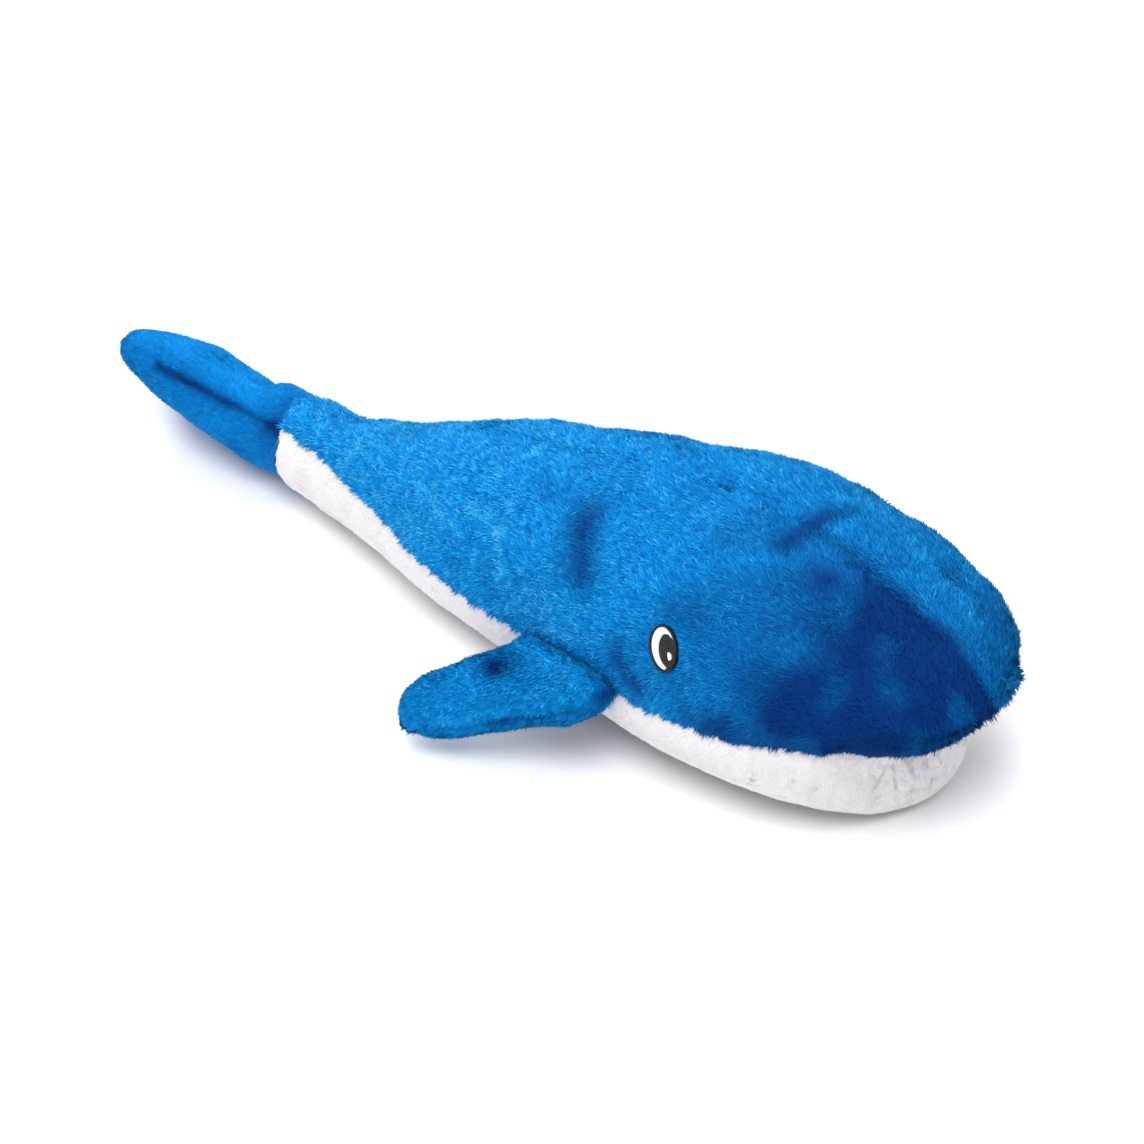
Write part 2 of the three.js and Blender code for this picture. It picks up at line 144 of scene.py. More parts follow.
# Sampling of the forms
last_place = 0.9985
slope_step = 1e-3
place_samples, angle_samples, middle_samples = 700, 33, 12
fewest_points = 4

# Cloth and lining
rest_height = 0.5 * MM
seam_gap = 0.03 * MM
shift_share = 0.3
unshift_rounds = 3
folded_facing = 0.3
cover_share = 0.9
sink_limit_share = 0.6
uneven_waves = [(0.07, 16 * MM, 4), (0.1, 38 * MM, 5)]
lining_coarseness = 3
lining_depth = 1.6 * MM
lining_least = 0.7

# Pile
swirl_grain, ruffle_grain, ruffle_size = 34 * MM, 7 * MM, 0.25
hang_reach = 14 * MM
clump_grain, clump_size = 3.4 * MM, 0.08
tuft_grain, tuft_size = 6 * MM, 0.25
usual_size, size_spread, size_limits = 0.86, 0.14, (0.45, 1.4)
lean_spread, least_rise = 0.13, 0.25
upright_facing, stub_share = 0.2, 0.02
lift_nap, lift_spread = 0.2, 0.16

# Shades of the pile
mottle_grain, mottle_dark, mottle_shade = 27 * MM, 0.05, 0.07
streak_tone, speck_tone, clump_tone = 0.55, 0.3, 0.45
# Light marks lighten the tips as painted light, and by a seam the tips are darkened as painted
# shade.
light_tone, seam_shade_tone, brushed_and_shaded_calm = 0.5, 0.12, 0.6
# The roots of the pile and the lining take a dark tone, painted shade deep in the pile.
root_shade_tone, lining_shade_tone, lining_brushed_and_shaded = 0.12, 0.1, 0.3
map_edge = 0.02
# The head's pile is brushed and in painted shade, less on the far side of the ridge, where painted
# light stands; painted light also lightens the end by the tail.
head_places, head_brushed_and_shaded, far_side_painted_light = (0.5, 0.76), 0.91, 0.7
ridge_degrees = (88, 98)
tail_end_places, tail_end_painted_light = (0.2, 0.48), 0.28

# Filling
stuffing_rows, stuffing_sides = 60, 48
lump_size, lump_grain = 0.12, 15 * MM
stuffing_least = 0.1

# Studio
studio_level = 0.86
key_power = 48
back_power = 26
floor_reach = 6.0

tail_seam_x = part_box("back_panel_right")[0].x
tail_section_height = (back_shares[0] + belly_shares[0]) / 2 * body_height - floor_cut
right_angle = math.pi / 2


# Number tables and noise

def between(table, place):
    """A smooth value between a table's entries that never overshoots them: a cubic over equal
    steps, whose slope at an entry is the harmonic mean of the steps beside it."""
    table = np.asarray(table, float)
    at = np.clip(place, 0, 1) * (len(table) - 1)
    i = np.minimum(at.astype(int), len(table) - 2)
    t = at - i
    step = np.diff(table)
    product = step[:-1] * step[1:]
    mean = 2 * product / np.where(product > 0, step[:-1] + step[1:], 1)
    slope = np.concatenate([step[:1], np.where(product > 0, mean, 0), step[-1:]])
    rise = t * t * (3 - 2 * t)
    return table[i] + step[i] * rise + slope[i] * t * (1 - t) ** 2 - slope[i + 1] * t * t * (1 - t)


def squared(value, power):
    """A number's size to a power, with the number's own sign."""
    return np.sign(value) * np.abs(value) ** power


def unit(vectors):
    """Each vector over its own length."""
    return vectors / np.maximum(np.linalg.norm(vectors, axis=-1, keepdims=True), 1e-12)


def smooth(low, high, value):
    """A smooth step from 0 at low to 1 at high: three times the square of the share between them,
    less twice its cube."""
    t = np.clip((value - low) / (high - low), 0, 1)
    return t * t * (3 - 2 * t)


def ripples(points, grain, seed, waves=24):
    """A smooth random field of about unit size: a sum of plane waves in random directions, whose
    lengths lie round the grain."""
    rng = np.random.default_rng(seed)
    turns = unit(rng.normal(size=(waves, 3))) * (math.tau / grain)
    turns = turns * rng.uniform(0.6, 1.5, (waves, 1))
    return np.sin(points @ turns.T + rng.uniform(0, math.tau, waves)).sum(1) * math.sqrt(2 / waves)


# Forms

def body_surface(place, angle):
    """The body: a section at each place, whose halves above and below the side seams are squared
    ellipses, rolled about its middle near the tail. The angle is 0 on the right side seam, a
    quarter turn on the ridge and three quarters under the belly."""
    back = body_height * between(back_shares, place)
    seam = body_height * between(seam_shares, place)
    belly = body_height * between(belly_shares, place)
    c, s = np.cos(angle), np.sin(angle)
    across = -body_half_width * between(width_shares, place) * squared(c, body_side_roundness)
    above = (back - seam) * squared(np.maximum(s, 0), body_back_roundness)
    below = (seam - belly) * squared(np.minimum(s, 0), body_belly_roundness)
    x = body_length * between(along_shares, place)
    x = x + snout_overhang * between(overhang_shares, place) * np.maximum(s, 0) ** snout_power
    x = x + chin_overhang * between(chin_shares, place) * np.maximum(-s, 0) ** chin_power
    roll = np.radians(between(roll_degrees, place))
    middle = (back + belly) / 2
    up = seam + above + below - middle
    y = across * np.cos(roll) - up * np.sin(roll)
    z = across * np.sin(roll) + up * np.cos(roll) + middle
    return np.stack([x + tail_seam_x, y, z - floor_cut], -1)


def placed_in(axes, origin, local):
    """Points given along three axes from an origin: the origin plus each number times its axis."""
    return local @ axes + origin


tail_roll = math.radians(roll_degrees[0])
tail_axes = np.array([
    [1, 0, 0],
    [0, math.cos(tail_roll), math.sin(tail_roll)],
    [0, -math.sin(tail_roll), math.cos(tail_roll)],
])
tail_origin = np.array([tail_seam_x, 0, tail_section_height])


def tail_surface(place, angle):
    """The tail: squared ellipses across its axis, flat at the tip, where the outline is drawn in
    to a notch in the middle and to round corners at the lobes."""
    side = -squared(np.cos(angle), pillow_side_roundness)
    notch = tail_notch_share * (1 - np.abs(side)) ** 2
    reach = 1 - (notch + tail_corner_share * np.abs(side) ** 6)
    x = -tail_length * between(tail_along_shares, place) * reach
    y = tail_half_width * between(tail_width_shares, place) * side
    crown = tail_half_thickness * between(tail_thick_shares, place)
    z = tail_rise * between(tail_rise_shares, place)
    z = z + crown * squared(np.sin(angle), pillow_crown_roundness)
    return placed_in(tail_axes, tail_origin, np.stack([x, y, z], -1))


fine_places = np.linspace(0, 1, 2001)


def place_at(share):
    """The place on the body that lies at a share of its length, read back from a fine table."""
    return float(np.interp(share, between(along_shares, fine_places), fine_places))


def flipper_frame(side):
    """The axes of a flipper, outwards, along its root and upwards, its hinge point and its root's
    length. The root runs between two points of the side seam. Outwards is level and square to it,
    then turned down about it by the droop. The side is 1 for the right flipper and -1 for the
    left."""
    seam_angle = np.array([0 if side > 0 else math.pi])
    rear, front = (body_surface(np.array([place_at(share)]), seam_angle)[0]
                   for share in (flipper_rear_share, flipper_front_share))
    forward = unit(front - rear)
    level = unit(-side * np.cross([0, 0, 1], forward))
    middle = (rear + front) / 2 + level * (flipper_root_radius - flipper_seating)
    droop = math.radians(flipper_droop) * side
    outward = level * math.cos(droop) + np.cross(forward, level) * math.sin(droop)
    sideways = forward * side
    axes = np.array([outward, sideways, np.cross(outward, sideways)])
    return axes, middle, float(np.linalg.norm(front - rear))


def flipper_surface(side):
    """A flipper's surface: squared ellipses between its leading and trailing edges, from its round
    root to its round tip."""
    axes, origin, root = flipper_frame(side)

    def surface(place, angle):
        lead = side * root * (between(flipper_lead_shares, place) - 0.5)
        trail = side * root * (between(flipper_trail_shares, place) - 0.5)
        across = -squared(np.cos(angle), pillow_side_roundness)
        reach = 1 - flipper_corner_share * across ** 4
        x = flipper_length * between(flipper_along_shares, place) * reach
        y = (lead + trail) / 2 + across * np.abs(lead - trail) / 2
        crown = flipper_half_thickness * between(flipper_thick_shares, place)
        z = crown * squared(np.sin(angle), pillow_crown_roundness)
        return placed_in(axes, origin, np.stack([x, y, z], -1))

    return surface


# Meshes

def tangents(surface, place, angle):
    """The surface's slopes along and round it, as differences over a small step."""
    step = slope_step
    place = np.clip(place, step, last_place - step)
    along = surface(place + step, angle) - surface(place - step, angle)
    around = surface(place, angle + step) - surface(place, angle - step)
    return unit(along), unit(around)


def outward(surface, turn, place, angle):
    """The outward direction: the cross product of the two slopes, on the side of the turn."""
    along, around = tangents(surface, place, angle)
    return unit(turn * np.cross(along, around))


def above_floor(points):
    """The points, with those near the floor pressed flat on to it: their height falls off as an
    exponential, and so never reaches the floor."""
    z = points[:, 2]
    pressed = rest_height * np.exp(np.minimum(z / rest_height - 1, 0))
    points[:, 2] = np.where(z < rest_height, pressed, z)
    return points


def turned(faces, turn):
    """The faces of a form, with their corners the other way round where its turn is negative."""
    return faces if turn > 0 else faces[:, [0, 2, 1]]


def strip(one, other):
    """Triangles between two rows of point numbers: the steps of both rows are taken in the order
    of their middles, so the rows may hold different numbers of points."""
    a, b = len(one) - 1, len(other) - 1
    middles = np.concatenate([(np.arange(a) + 0.5) / a, (np.arange(b) + 0.5) / b])
    on_one = (np.argsort(middles, kind="stable") < a).astype(int)
    i = np.cumsum(on_one) - on_one
    j = np.cumsum(1 - on_one) - (1 - on_one)
    third = np.where(on_one == 1, one[np.minimum(i + 1, a)], other[np.minimum(j + 1, b)])
    return np.stack([one[i], other[j], third], 1)


def between_rows(rows):
    """Triangles between each row and the next."""
    return np.concatenate([strip(one, other) for one, other in zip(rows, rows[1:])])


def rows_of(counts):
    """The point numbers of each row."""
    return np.split(np.arange(counts.sum()), np.cumsum(counts)[:-1])


Rows = namedtuple("Rows", "place angle share length from_first to_last counts")


def even_rows(surface, low, high, last, spacing):
    """Rows of points over the surface between two angles, all about the spacing apart: the rows
    are even along the surface's longest line, and the points are even along their row. Given are
    each point's place, angle, share across its row, row length and distance from the first and
    last rows, and the count of points in each row."""
    places = np.linspace(0, last, place_samples)
    angles = np.linspace(low, high, angle_samples)
    grid = surface(np.repeat(places, angle_samples), np.tile(angles, place_samples))
    grid = grid.reshape(place_samples, angle_samples, 3)
    step = np.linalg.norm(np.diff(grid, axis=0), axis=2).max(1)
    travelled = np.concatenate([[0], np.cumsum(step)])
    total = travelled[-1]
    rows = np.linspace(0, total, max(fewest_points, round(total / spacing)))
    row_places = np.interp(rows, travelled, places)
    ring = surface(np.repeat(row_places, angle_samples), np.tile(angles, len(rows)))
    ring = ring.reshape(len(rows), angle_samples, 3)
    across = np.cumsum(np.linalg.norm(np.diff(ring, axis=1), axis=2), axis=1)
    across = np.concatenate([np.zeros((len(rows), 1)), across], 1)
    counts = np.maximum(fewest_points, np.round(across[:, -1] / spacing).astype(int))
    share = np.concatenate([np.linspace(0, 1, n) for n in counts])
    angle = np.concatenate([np.interp(np.linspace(0, length[-1], n), length, angles)
                            for n, length in zip(counts, across)])
    return Rows(np.repeat(row_places, counts), angle, share, np.repeat(across[:, -1], counts),
                np.repeat(rows, counts), np.repeat(total - rows, counts), counts)


def mesh_object(name, points, faces, attributes=(), uv=None, normals=None):
    """A mesh of triangles, with its point values, its map and a shading normal for each corner."""
    mesh = bpy.data.meshes.new(name)
    mesh.vertices.add(len(points))
    mesh.vertices.foreach_set("co", points.astype(np.float32).ravel())
    mesh.loops.add(faces.size)
    mesh.loops.foreach_set("vertex_index", faces.astype(np.int32).ravel())
    mesh.polygons.add(len(faces))
    mesh.polygons.foreach_set("loop_start", np.arange(0, faces.size, 3, dtype=np.int32))
    mesh.update(calc_edges=True)
    mesh.polygons.foreach_set("use_smooth", np.ones(len(faces), bool))
    for attribute, values in dict(attributes).items():
        layer = mesh.attributes.new(attribute, "FLOAT", "POINT")
        layer.data.foreach_set("value", values.astype(np.float32))
    if uv is not None:
        layer = mesh.uv_layers.new(name="OFBake")
        layer.data.foreach_set("uv", uv[faces.ravel()].astype(np.float32).ravel())
    if normals is not None:
        layer = mesh.attributes.new("custom_normal", "FLOAT_VECTOR", "CORNER")
        layer.data.foreach_set("vector", normals.astype(np.float32).ravel())
    mesh.validate()
    made = bpy.data.objects.new(name, mesh)
    bpy.context.scene.collection.objects.link(made)
    return made


# Plush

Cloth = namedtuple("Cloth", "pile lean spacing comb hang swirl tangle tone speckle dip dip_width")
Panel = namedtuple("Panel", "surface turn low high last seams marks")
Sheet = namedtuple("Sheet", "place angle points normal away seam dark skin rows")


def mark_strength(points, surface, marks):
    """How strongly the marks darken and sink each point: each mark is a line between two places,
    and fades as a bell curve of the distance from it. The darkening is painted shade in folds and
    dents together with the deeper colour of brushed pile; a darkness below zero lightens, as
    painted light."""
    dark, sunk = np.zeros(len(points)), np.zeros(len(points))
    for place_a, angle_a, place_b, angle_b, width, darkness, depth in marks:
        ends = surface(np.array([place_a, place_b]), np.radians([angle_a, angle_b]))
        line = ends[1] - ends[0]
        share = np.clip((points - ends[0]) @ line / max(line @ line, 1e-9), 0, 1)
        away = np.linalg.norm(points - ends[0] - share[:, None] * line, axis=1)
        bell = np.exp(-((away / (width * MM)) ** 2))
        dark += darkness * bell
        sunk += depth * MM * bell
    return dark, sunk


def mirrored(marks, darkness_share=1.0):
    """The marks on the other side of the form, at 180 degrees less their angles, with a share of
    their darkness."""
    return [(place_a, 180 - angle_a, place_b, 180 - angle_b, width, dark * darkness_share, depth)
            for place_a, angle_a, place_b, angle_b, width, dark, depth in marks]


def section_middles(surface, place):
    """The middle of the form's section at each place: the mean of points evenly round it."""
    turns = np.arange(middle_samples) * math.tau / middle_samples
    kinds, which = np.unique(place, return_inverse=True)
    rings = surface(np.repeat(kinds, len(turns)), np.tile(turns, len(kinds)))
    return rings.reshape(len(kinds), len(turns), 3).mean(1)[which]


def drawn_in(points, middles, depth, least):
    """The points moved towards the middles of their sections by the depth, at most to a least
    share of their reach."""
    out = points - middles
    reach = np.linalg.norm(out, axis=1, keepdims=True)
    return middles + out * np.maximum(least, 1 - depth / np.maximum(reach, 1e-6))


def flat_normals(points, triangles):
    """Each triangle's own normal: the cross product of two of its sides."""
    one, two, three = (points[triangles[:, k]] for k in range(3))
    return unit(np.cross(two - one, three - one))


def facing_of(points, triangles, normal):
    """How far each triangle faces along the surface's own direction, as the dot product of the
    two: 1 is flat on it, and below 0 the triangle is folded over."""
    return (flat_normals(points, triangles) * unit(normal[triangles].mean(1))).sum(1)


def cloth_sheet(cloth, panel, seed, spacing):
    """The cloth that the pile stands on, and its triangles. Its points are shifted at random, but
    not where that folds a triangle over."""
    rng = np.random.default_rng(seed)
    rows = even_rows(panel.surface, panel.low, panel.high, panel.last, spacing)
    inner = (rows.share > 0) & (rows.share < 1)
    shift = inner * rng.uniform(-shift_share, shift_share, (2, len(rows.place)))
    row_step = np.full(len(rows.place), panel.last / len(rows.counts))
    shift *= np.stack([row_step, (panel.high - panel.low) / np.repeat(rows.counts, rows.counts)])
    triangles = turned(between_rows(rows_of(rows.counts)), panel.turn)
    for _ in range(unshift_rounds):
        place = np.clip(rows.place + shift[0], 0, panel.last)
        sheet = sunk_cloth(cloth, panel, place, rows.angle + shift[1], rows)
        folded = facing_of(sheet.skin, triangles, sheet.normal) <= folded_facing
        shift[:, triangles[folded].ravel()] = 0
    return sheet, triangles


def sunk_cloth(cloth, panel, place, angle, rows):
    """The cloth at given places. It lies at the pile's depth under the surface, sinks at the sewn
    edges by a bell curve of the distance from them, and sinks in the marks, but by no more than a
    share of the form's thickness."""
    points = panel.surface(place, angle)
    normal = outward(panel.surface, panel.turn, place, angle)
    from_low = rows.share * rows.length
    edges = (from_low, rows.length - from_low, rows.from_first, rows.to_last)
    away = np.minimum.reduce([edge for edge, sewn in zip(edges, panel.seams) if sewn])
    seam = np.exp(-((away / cloth.dip_width) ** 2))
    dark, sunk = mark_strength(points, panel.surface, panel.marks)
    uneven = sum(share * ripples(points, grain, seed) for share, grain, seed in uneven_waves)
    depth = cloth.pile * math.cos(cloth.lean) * cover_share + cloth.dip * seam + sunk
    depth = depth + cloth.pile * uneven * (1 - seam)
    room = ((points - section_middles(panel.surface, place)) * normal).sum(1)
    depth = np.minimum(depth, sink_limit_share * np.maximum(room, 0))
    _, around = tangents(panel.surface, place, angle)
    edge = seam_gap * ((rows.share == 0) - 1.0 * (rows.share == 1))[:, None]
    skin = points - normal * depth[:, None] + around * edge
    return Sheet(place, angle, points, normal, away, seam, dark, skin, rows_of(rows.counts))


def nap_of(cloth, centre, up, away, seed, rng):
    """The way that the pile lies on each triangle: the cloth's comb, a hang that fades as a bell
    curve beside a seam, slow swirls, finer ruffles and a random tangle, added up, less the part of
    the sum that stands out of the cloth."""
    swirl = np.stack([ripples(centre, swirl_grain, seed + 7 + k) for k in range(3)], 1)
    ruffle = np.stack([ripples(centre, ruffle_grain, seed + 17 + k) for k in range(3)], 1)
    falling = np.exp(-((away / hang_reach) ** 2)) * (1 - np.abs(up[:, 2]))
    hang = falling[:, None] * np.array([0, 0, -cloth.hang])
    comb = np.array(cloth.comb) + hang + swirl * cloth.swirl + ruffle * ruffle_size
    comb = comb + rng.normal(size=centre.shape) * cloth.tangle
    return unit(comb - up * (comb * up).sum(1, keepdims=True))


def spikes_of(cloth, sheet, triangles, up, nap, fluff, rng):
    """The spike of each triangle: along the outward direction and the nap, which leans by the
    cloth's angle, but turned up where it would lie under its own triangle. On a triangle that
    stands on edge it is next to nothing."""
    count = len(triangles)
    size = usual_size + size_spread * rng.normal(size=count) + fluff
    size = cloth.pile * np.clip(size, *size_limits)
    flat = flat_normals(sheet.skin, triangles)
    size = np.where((flat * up).sum(1) > upright_facing, size, stub_share * size)
    lean = cloth.lean + lean_spread * rng.normal(size=count)
    spike = up * np.cos(lean)[:, None] + nap * np.sin(lean)[:, None]
    spike = unit(spike + flat * np.maximum(least_rise - (spike * flat).sum(1), 0)[:, None])
    return spike * size[:, None]


def panel_faces(panel, sheet, triangles, lining_rows):
    """Three sides to each spike, the lining, and the walls between the edges of cloth and lining.
    The points are the cloth's, then the spikes' tips, then the lining's."""
    start = len(sheet.skin)
    a, b, c = triangles.T
    tips = start + np.arange(len(triangles))
    inside = [row + start + len(triangles) for row in lining_rows]
    left, right = ([np.array([row[k] for row in rows]) for rows in (sheet.rows, inside)]
                   for k in (0, -1))
    walls = np.concatenate([
        between_rows(inside)[:, [0, 2, 1]], strip(*left), strip(*right[::-1]),
        strip(inside[0], sheet.rows[0]), strip(sheet.rows[-1], inside[-1]),
    ])
    sides = [np.stack([one, other, tips], 1) for one, other in ((a, b), (b, c), (c, a))]
    return np.concatenate([*sides, turned(walls, panel.turn)])


def shades_of(cloth, sheet, triangles, streaks, clumps, shade, seed, rng):
    """The tone of each spike's tip, and how far the pile of each point of the cloth and of each
    tip is brushed and shaded: the marks and the painted shade with a slow mottle. Streaks, specks
    and clumps vary the tone, less where the pile is brushed and shaded; it is lighter in light
    marks as painted light, and darker by a seam as painted shade."""
    mottle = ripples(sheet.points, mottle_grain, seed + 3)
    dark = sheet.dark + mottle_dark * mottle
    if shade is not None:
        dark = dark + shade(sheet.place, sheet.angle) * (1 + mottle_shade * mottle)
    brushed = np.clip(dark, 0, 1)
    light, seam, tip_brushed_and_shaded = (values[triangles].mean(1)
                                for values in (np.clip(-dark, 0, 1), sheet.seam, brushed))
    specks = rng.normal(size=len(triangles))
    grain = streak_tone * streaks + speck_tone * specks + clump_tone * clumps
    calm = 1 - brushed_and_shaded_calm * tip_brushed_and_shaded
    tip_tone = cloth.tone + light_tone * light + cloth.speckle * calm * grain - seam_shade_tone * seam
    return np.clip(tip_tone, 0, 1), brushed, tip_brushed_and_shaded


def plush_panel(name, cloth, panel, seed, clear=None, shade=None):
    """A closed panel of plush: a spike of pile on each triangle of the cloth, and a coarser lining
    under it. The panel's seams tell which of its edges are sewn, the low and high angles and the
    first and last rows: there the pile hangs down over the other side."""
    rng = np.random.default_rng(seed)
    sheet, triangles = cloth_sheet(cloth, panel, seed, cloth.spacing)
    under, _ = cloth_sheet(cloth, panel, seed, lining_coarseness * cloth.spacing)
    middles = section_middles(panel.surface, under.place)
    lining = drawn_in(under.skin, middles, lining_depth, lining_least)
    count, start = len(triangles), len(sheet.skin)
    centre = sheet.skin[triangles].mean(1)
    up = unit(sheet.normal[triangles].mean(1))
    nap = nap_of(cloth, centre, up, sheet.away[triangles].mean(1), seed, rng)
    streaks = np.convolve(rng.normal(size=start), np.ones(3) / 3 ** 0.5, "same")[triangles[:, 0]]
    clumps = ripples(centre, clump_grain, seed + 27)
    tufts = ripples(centre, tuft_grain, seed + 28) * sheet.seam[triangles].mean(1)
    fluff = clump_size * clumps + tuft_size * tufts
    spike = spikes_of(cloth, sheet, triangles, up, nap, fluff, rng)
    if clear is not None:
        spike = spike * np.minimum(clear(centre), clear(centre + spike))[:, None]
    tip_tone, brushed, tip_brushed_and_shaded = shades_of(
        cloth, sheet, triangles, streaks, clumps, shade, seed, rng)
    lined = np.ones(len(lining))
    tone = np.concatenate([np.full(start, root_shade_tone), tip_tone, lining_shade_tone * lined])
    brushed = np.concatenate([brushed, tip_brushed_and_shaded, lining_brushed_and_shaded * lined])
    lift = unit(up + nap * lift_nap + rng.normal(size=(count, 3)) * lift_spread)
    faces = panel_faces(panel, sheet, triangles, under.rows)
    points = above_floor(np.concatenate([sheet.skin, centre + spike, lining]))
    normals = np.concatenate([sheet.normal, lift, -under.normal])[faces].reshape(-1, 3)
    uv = map_edge + (1 - 2 * map_edge) * np.stack([tone, brushed], 1)
    return mesh_object(name, points, faces, {"tone": tone, "brushed": brushed}, uv, normals)


# Materials

class Signal:
    """A shader socket that takes part in sums: each operator adds a Math node."""

    def __init__(self, tree, socket):
        self.tree, self.socket = tree, socket

    def math(self, operation, *others):
        node = self.tree.nodes.new("ShaderNodeMath")
        node.operation = operation
        for slot, value in zip(node.inputs, others):
            if isinstance(value, Signal):
                self.tree.links.new(value.socket, slot)
            else:
                slot.default_value = value
        return Signal(self.tree, node.outputs[0])

    def __add__(self, other):
        return self.math("ADD", self, other)

    def __mul__(self, other):
        return self.math("MULTIPLY", self, other)

    __radd__ = __add__
    __rmul__ = __mul__


class Nodes:
    """A node tree under construction."""

    def __init__(self, tree):
        self.tree = tree

    def node(self, kind, settings=(), output=0, **inputs):
        """Adds a node: its settings first, then the values or links of its sockets."""
        made = self.tree.nodes.new(kind)
        for name, value in dict(settings).items():
            if name == "stops":
                ramp = made.color_ramp
                while len(ramp.elements) < len(value):
                    ramp.elements.new(0.5)
                for element, (position, colour) in zip(ramp.elements, value):
                    element.position, element.color = position, colour
            else:
                setattr(made, name, value)
        for name, value in inputs.items():
            numbered = name[0] == "i" and name[1:].isdigit()
            self.feed(made.inputs[int(name[1:]) if numbered else name], value)
        return Signal(self.tree, made.outputs[output])

    def feed(self, slot, value):
        if isinstance(value, Signal):
            self.tree.links.new(value.socket, slot)
        else:
            slot.default_value = value


class Finish(Nodes):
    """A material under construction, with its Principled shader."""

    def __init__(self, name):
        self.material = bpy.data.materials.new(name)
        self.material.use_nodes = True
        super().__init__(self.material.node_tree)
        self.shader = self.tree.nodes["Principled BSDF"]

    def attribute(self, name):
        return self.node("ShaderNodeAttribute", {"attribute_name": name}, output=2)

    def mixed(self, factor, one, other):
        """A colour between two colours."""
        blend = {"data_type": "RGBA"}
        return self.node("ShaderNodeMix", blend, output=2, i0=factor, i6=one, i7=other)

    def noise(self, scale, detail):
        """Noise over the object's own coordinates, from 0 to 1."""
        place = self.node("ShaderNodeTexCoord", output=3)
        return self.node("ShaderNodeTexNoise", Vector=place, Scale=scale, Detail=detail)

    def set(self, **values):
        for name, value in values.items():
            self.feed(self.shader.inputs[name.replace("_", " ")], value)
        return self.material


def srgb(red, green, blue):
    """A colour given in 0 to 255 steps, as the linear values that a shader takes."""
    def line(v):
        v = v / 255
        return v / 12.92 if v <= 0.04045 else ((v + 0.055) / 1.055) ** 2.4
    return (line(red), line(green), line(blue), 1.0)


def plush(name, light_stops, brushed_and_shaded_stops):
    """Plush whose colour runs from the roots to the tips of its pile, darker at the roots as
    painted shade, and to a deeper colour where the pile is brushed the other way and where shade is
    painted."""
    finish = Finish(name)
    tone = finish.attribute("tone")
    light = finish.node("ShaderNodeValToRGB", {"stops": light_stops}, i0=tone)
    deep = finish.node("ShaderNodeValToRGB", {"stops": brushed_and_shaded_stops}, i0=tone)
    colour = finish.mixed(finish.attribute("brushed"), light, deep)
    return finish.set(Base_Color=colour, Roughness=0.9, Specular_IOR_Level=0.1)


def thread(name, dark, light):
    """Embroidery thread, whose shade varies from stitch to stitch."""
    finish = Finish(name)
    colour = finish.mixed(finish.attribute("tone"), dark, light)
    return finish.set(Base_Color=colour, Roughness=0.45, Specular_IOR_Level=0.35)


def fibre():
    """Fibre filling: a white whose shade follows fine curls."""
    finish = Finish("fibre_fill")
    curls = finish.noise(scale=300.0, detail=4.0)
    colour = finish.mixed(curls, srgb(222, 222, 218), srgb(250, 250, 248))
    return finish.set(Base_Color=colour, Roughness=1.0)


# Filling

def stuffing(name, surface, turn, first, last, depth, seed):
    """A closed form inside a skin: each section of the surface is drawn in towards its middle by
    the depth, with a few lumps, and both ends are closed on their middles."""
    rows, sides = stuffing_rows, stuffing_sides
    place = np.repeat(np.linspace(first, last, rows), sides)
    angle = np.tile(np.arange(sides) * math.tau / sides, rows)
    skin = surface(place, angle)
    lumps = 1 + lump_size * ripples(skin, lump_grain, seed)[:, None]
    rings = drawn_in(skin, section_middles(surface, place), depth * lumps, stuffing_least)
    number = np.arange(rows * sides).reshape(rows, sides)
    ends = rings[number[[0, -1]]].mean(1)
    after = np.roll(number, -1, 1)
    a, b, c, d = (x.ravel() for x in (number[:-1], number[1:], after[1:], after[:-1]))
    hub = np.full(sides, rows * sides)
    faces = np.concatenate([
        np.stack([a, b, c], 1), np.stack([a, c, d], 1),
        np.stack([hub, number[0], after[0]], 1), np.stack([hub + 1, after[-1], number[-1]], 1),
    ])
    return mesh_object(name, np.concatenate([rings, ends]), turned(faces, turn))


# Embroidered eyes, in millimetres on the eye's own plane

Oval = namedtuple("Oval", "half_width half_height forward rise")
eye_edge = Oval(8.3, 11.6, 0.0, 0.0)
eye_field = Oval(6.7, 10.4, 0.4, 0.0)
eye_pupil = Oval(5.0, 8.2, 2.6, -1.7)
eye_glint = Oval(1.2, 1.9, 3.6, -4.2)
eye_clearing = (8.7, 12.0, 12.0)
thread_pitch = 0.4
thread_half = 0.27
thread_steps, thread_sides = 9, 6
thread_shift, thread_lift = 0.05, 0.03
stitch_gap = 0.1
border_gap = 0.05
least_white = 0.12
padding_top, padding_bottom = -0.35, -1.9
padding_tone = 0.3
thread_tip_depth = 0.5
least_chord = 0.3
eye_rays, glint_rays = 160, 48
least_crescent = 0.6
pupil_front = (-1.98, -1.8, 0.62, 0.9)

# The patch of the body that an eye's plane is fitted over
patch_places, patch_angles, patch_samples = 0.035, 0.22, 15
patch_step = 0.01

# Pile beside the eyes
eye_stub = 0.12
eye_brink = (0.95, 1.15)


def eye_spot(side):
    """The place and angle of an eye's middle on the body, mirrored for the left side."""
    turn = math.radians(eye_angle)
    return place_at(eye_along_share), turn if side > 0 else math.pi - turn


def eye_frame(side):
    """The eye's axes, forwards, upwards and out of the surface, and its middle on the surface.
    Outwards is the cross product of the surface's two slopes, and upwards is the slope round the
    body, turned about it by the eye's tilt."""
    place, angle = eye_spot(side)
    step = patch_step
    spots = body_surface(np.array([place, place + step, place - step, place, place]),
                         np.array([angle, angle, angle, angle + side * step, angle - side * step]))
    ahead, upward = spots[1] - spots[2], spots[3] - spots[4]
    out = unit(side * np.cross(ahead, upward))
    top = unit(upward - out * (upward @ out))
    tilt = math.radians(eye_tilt) * side
    top = top * math.cos(tilt) + np.cross(out, top) * math.sin(tilt)
    return np.array([np.cross(top, out) * side, top, out]), spots[0]


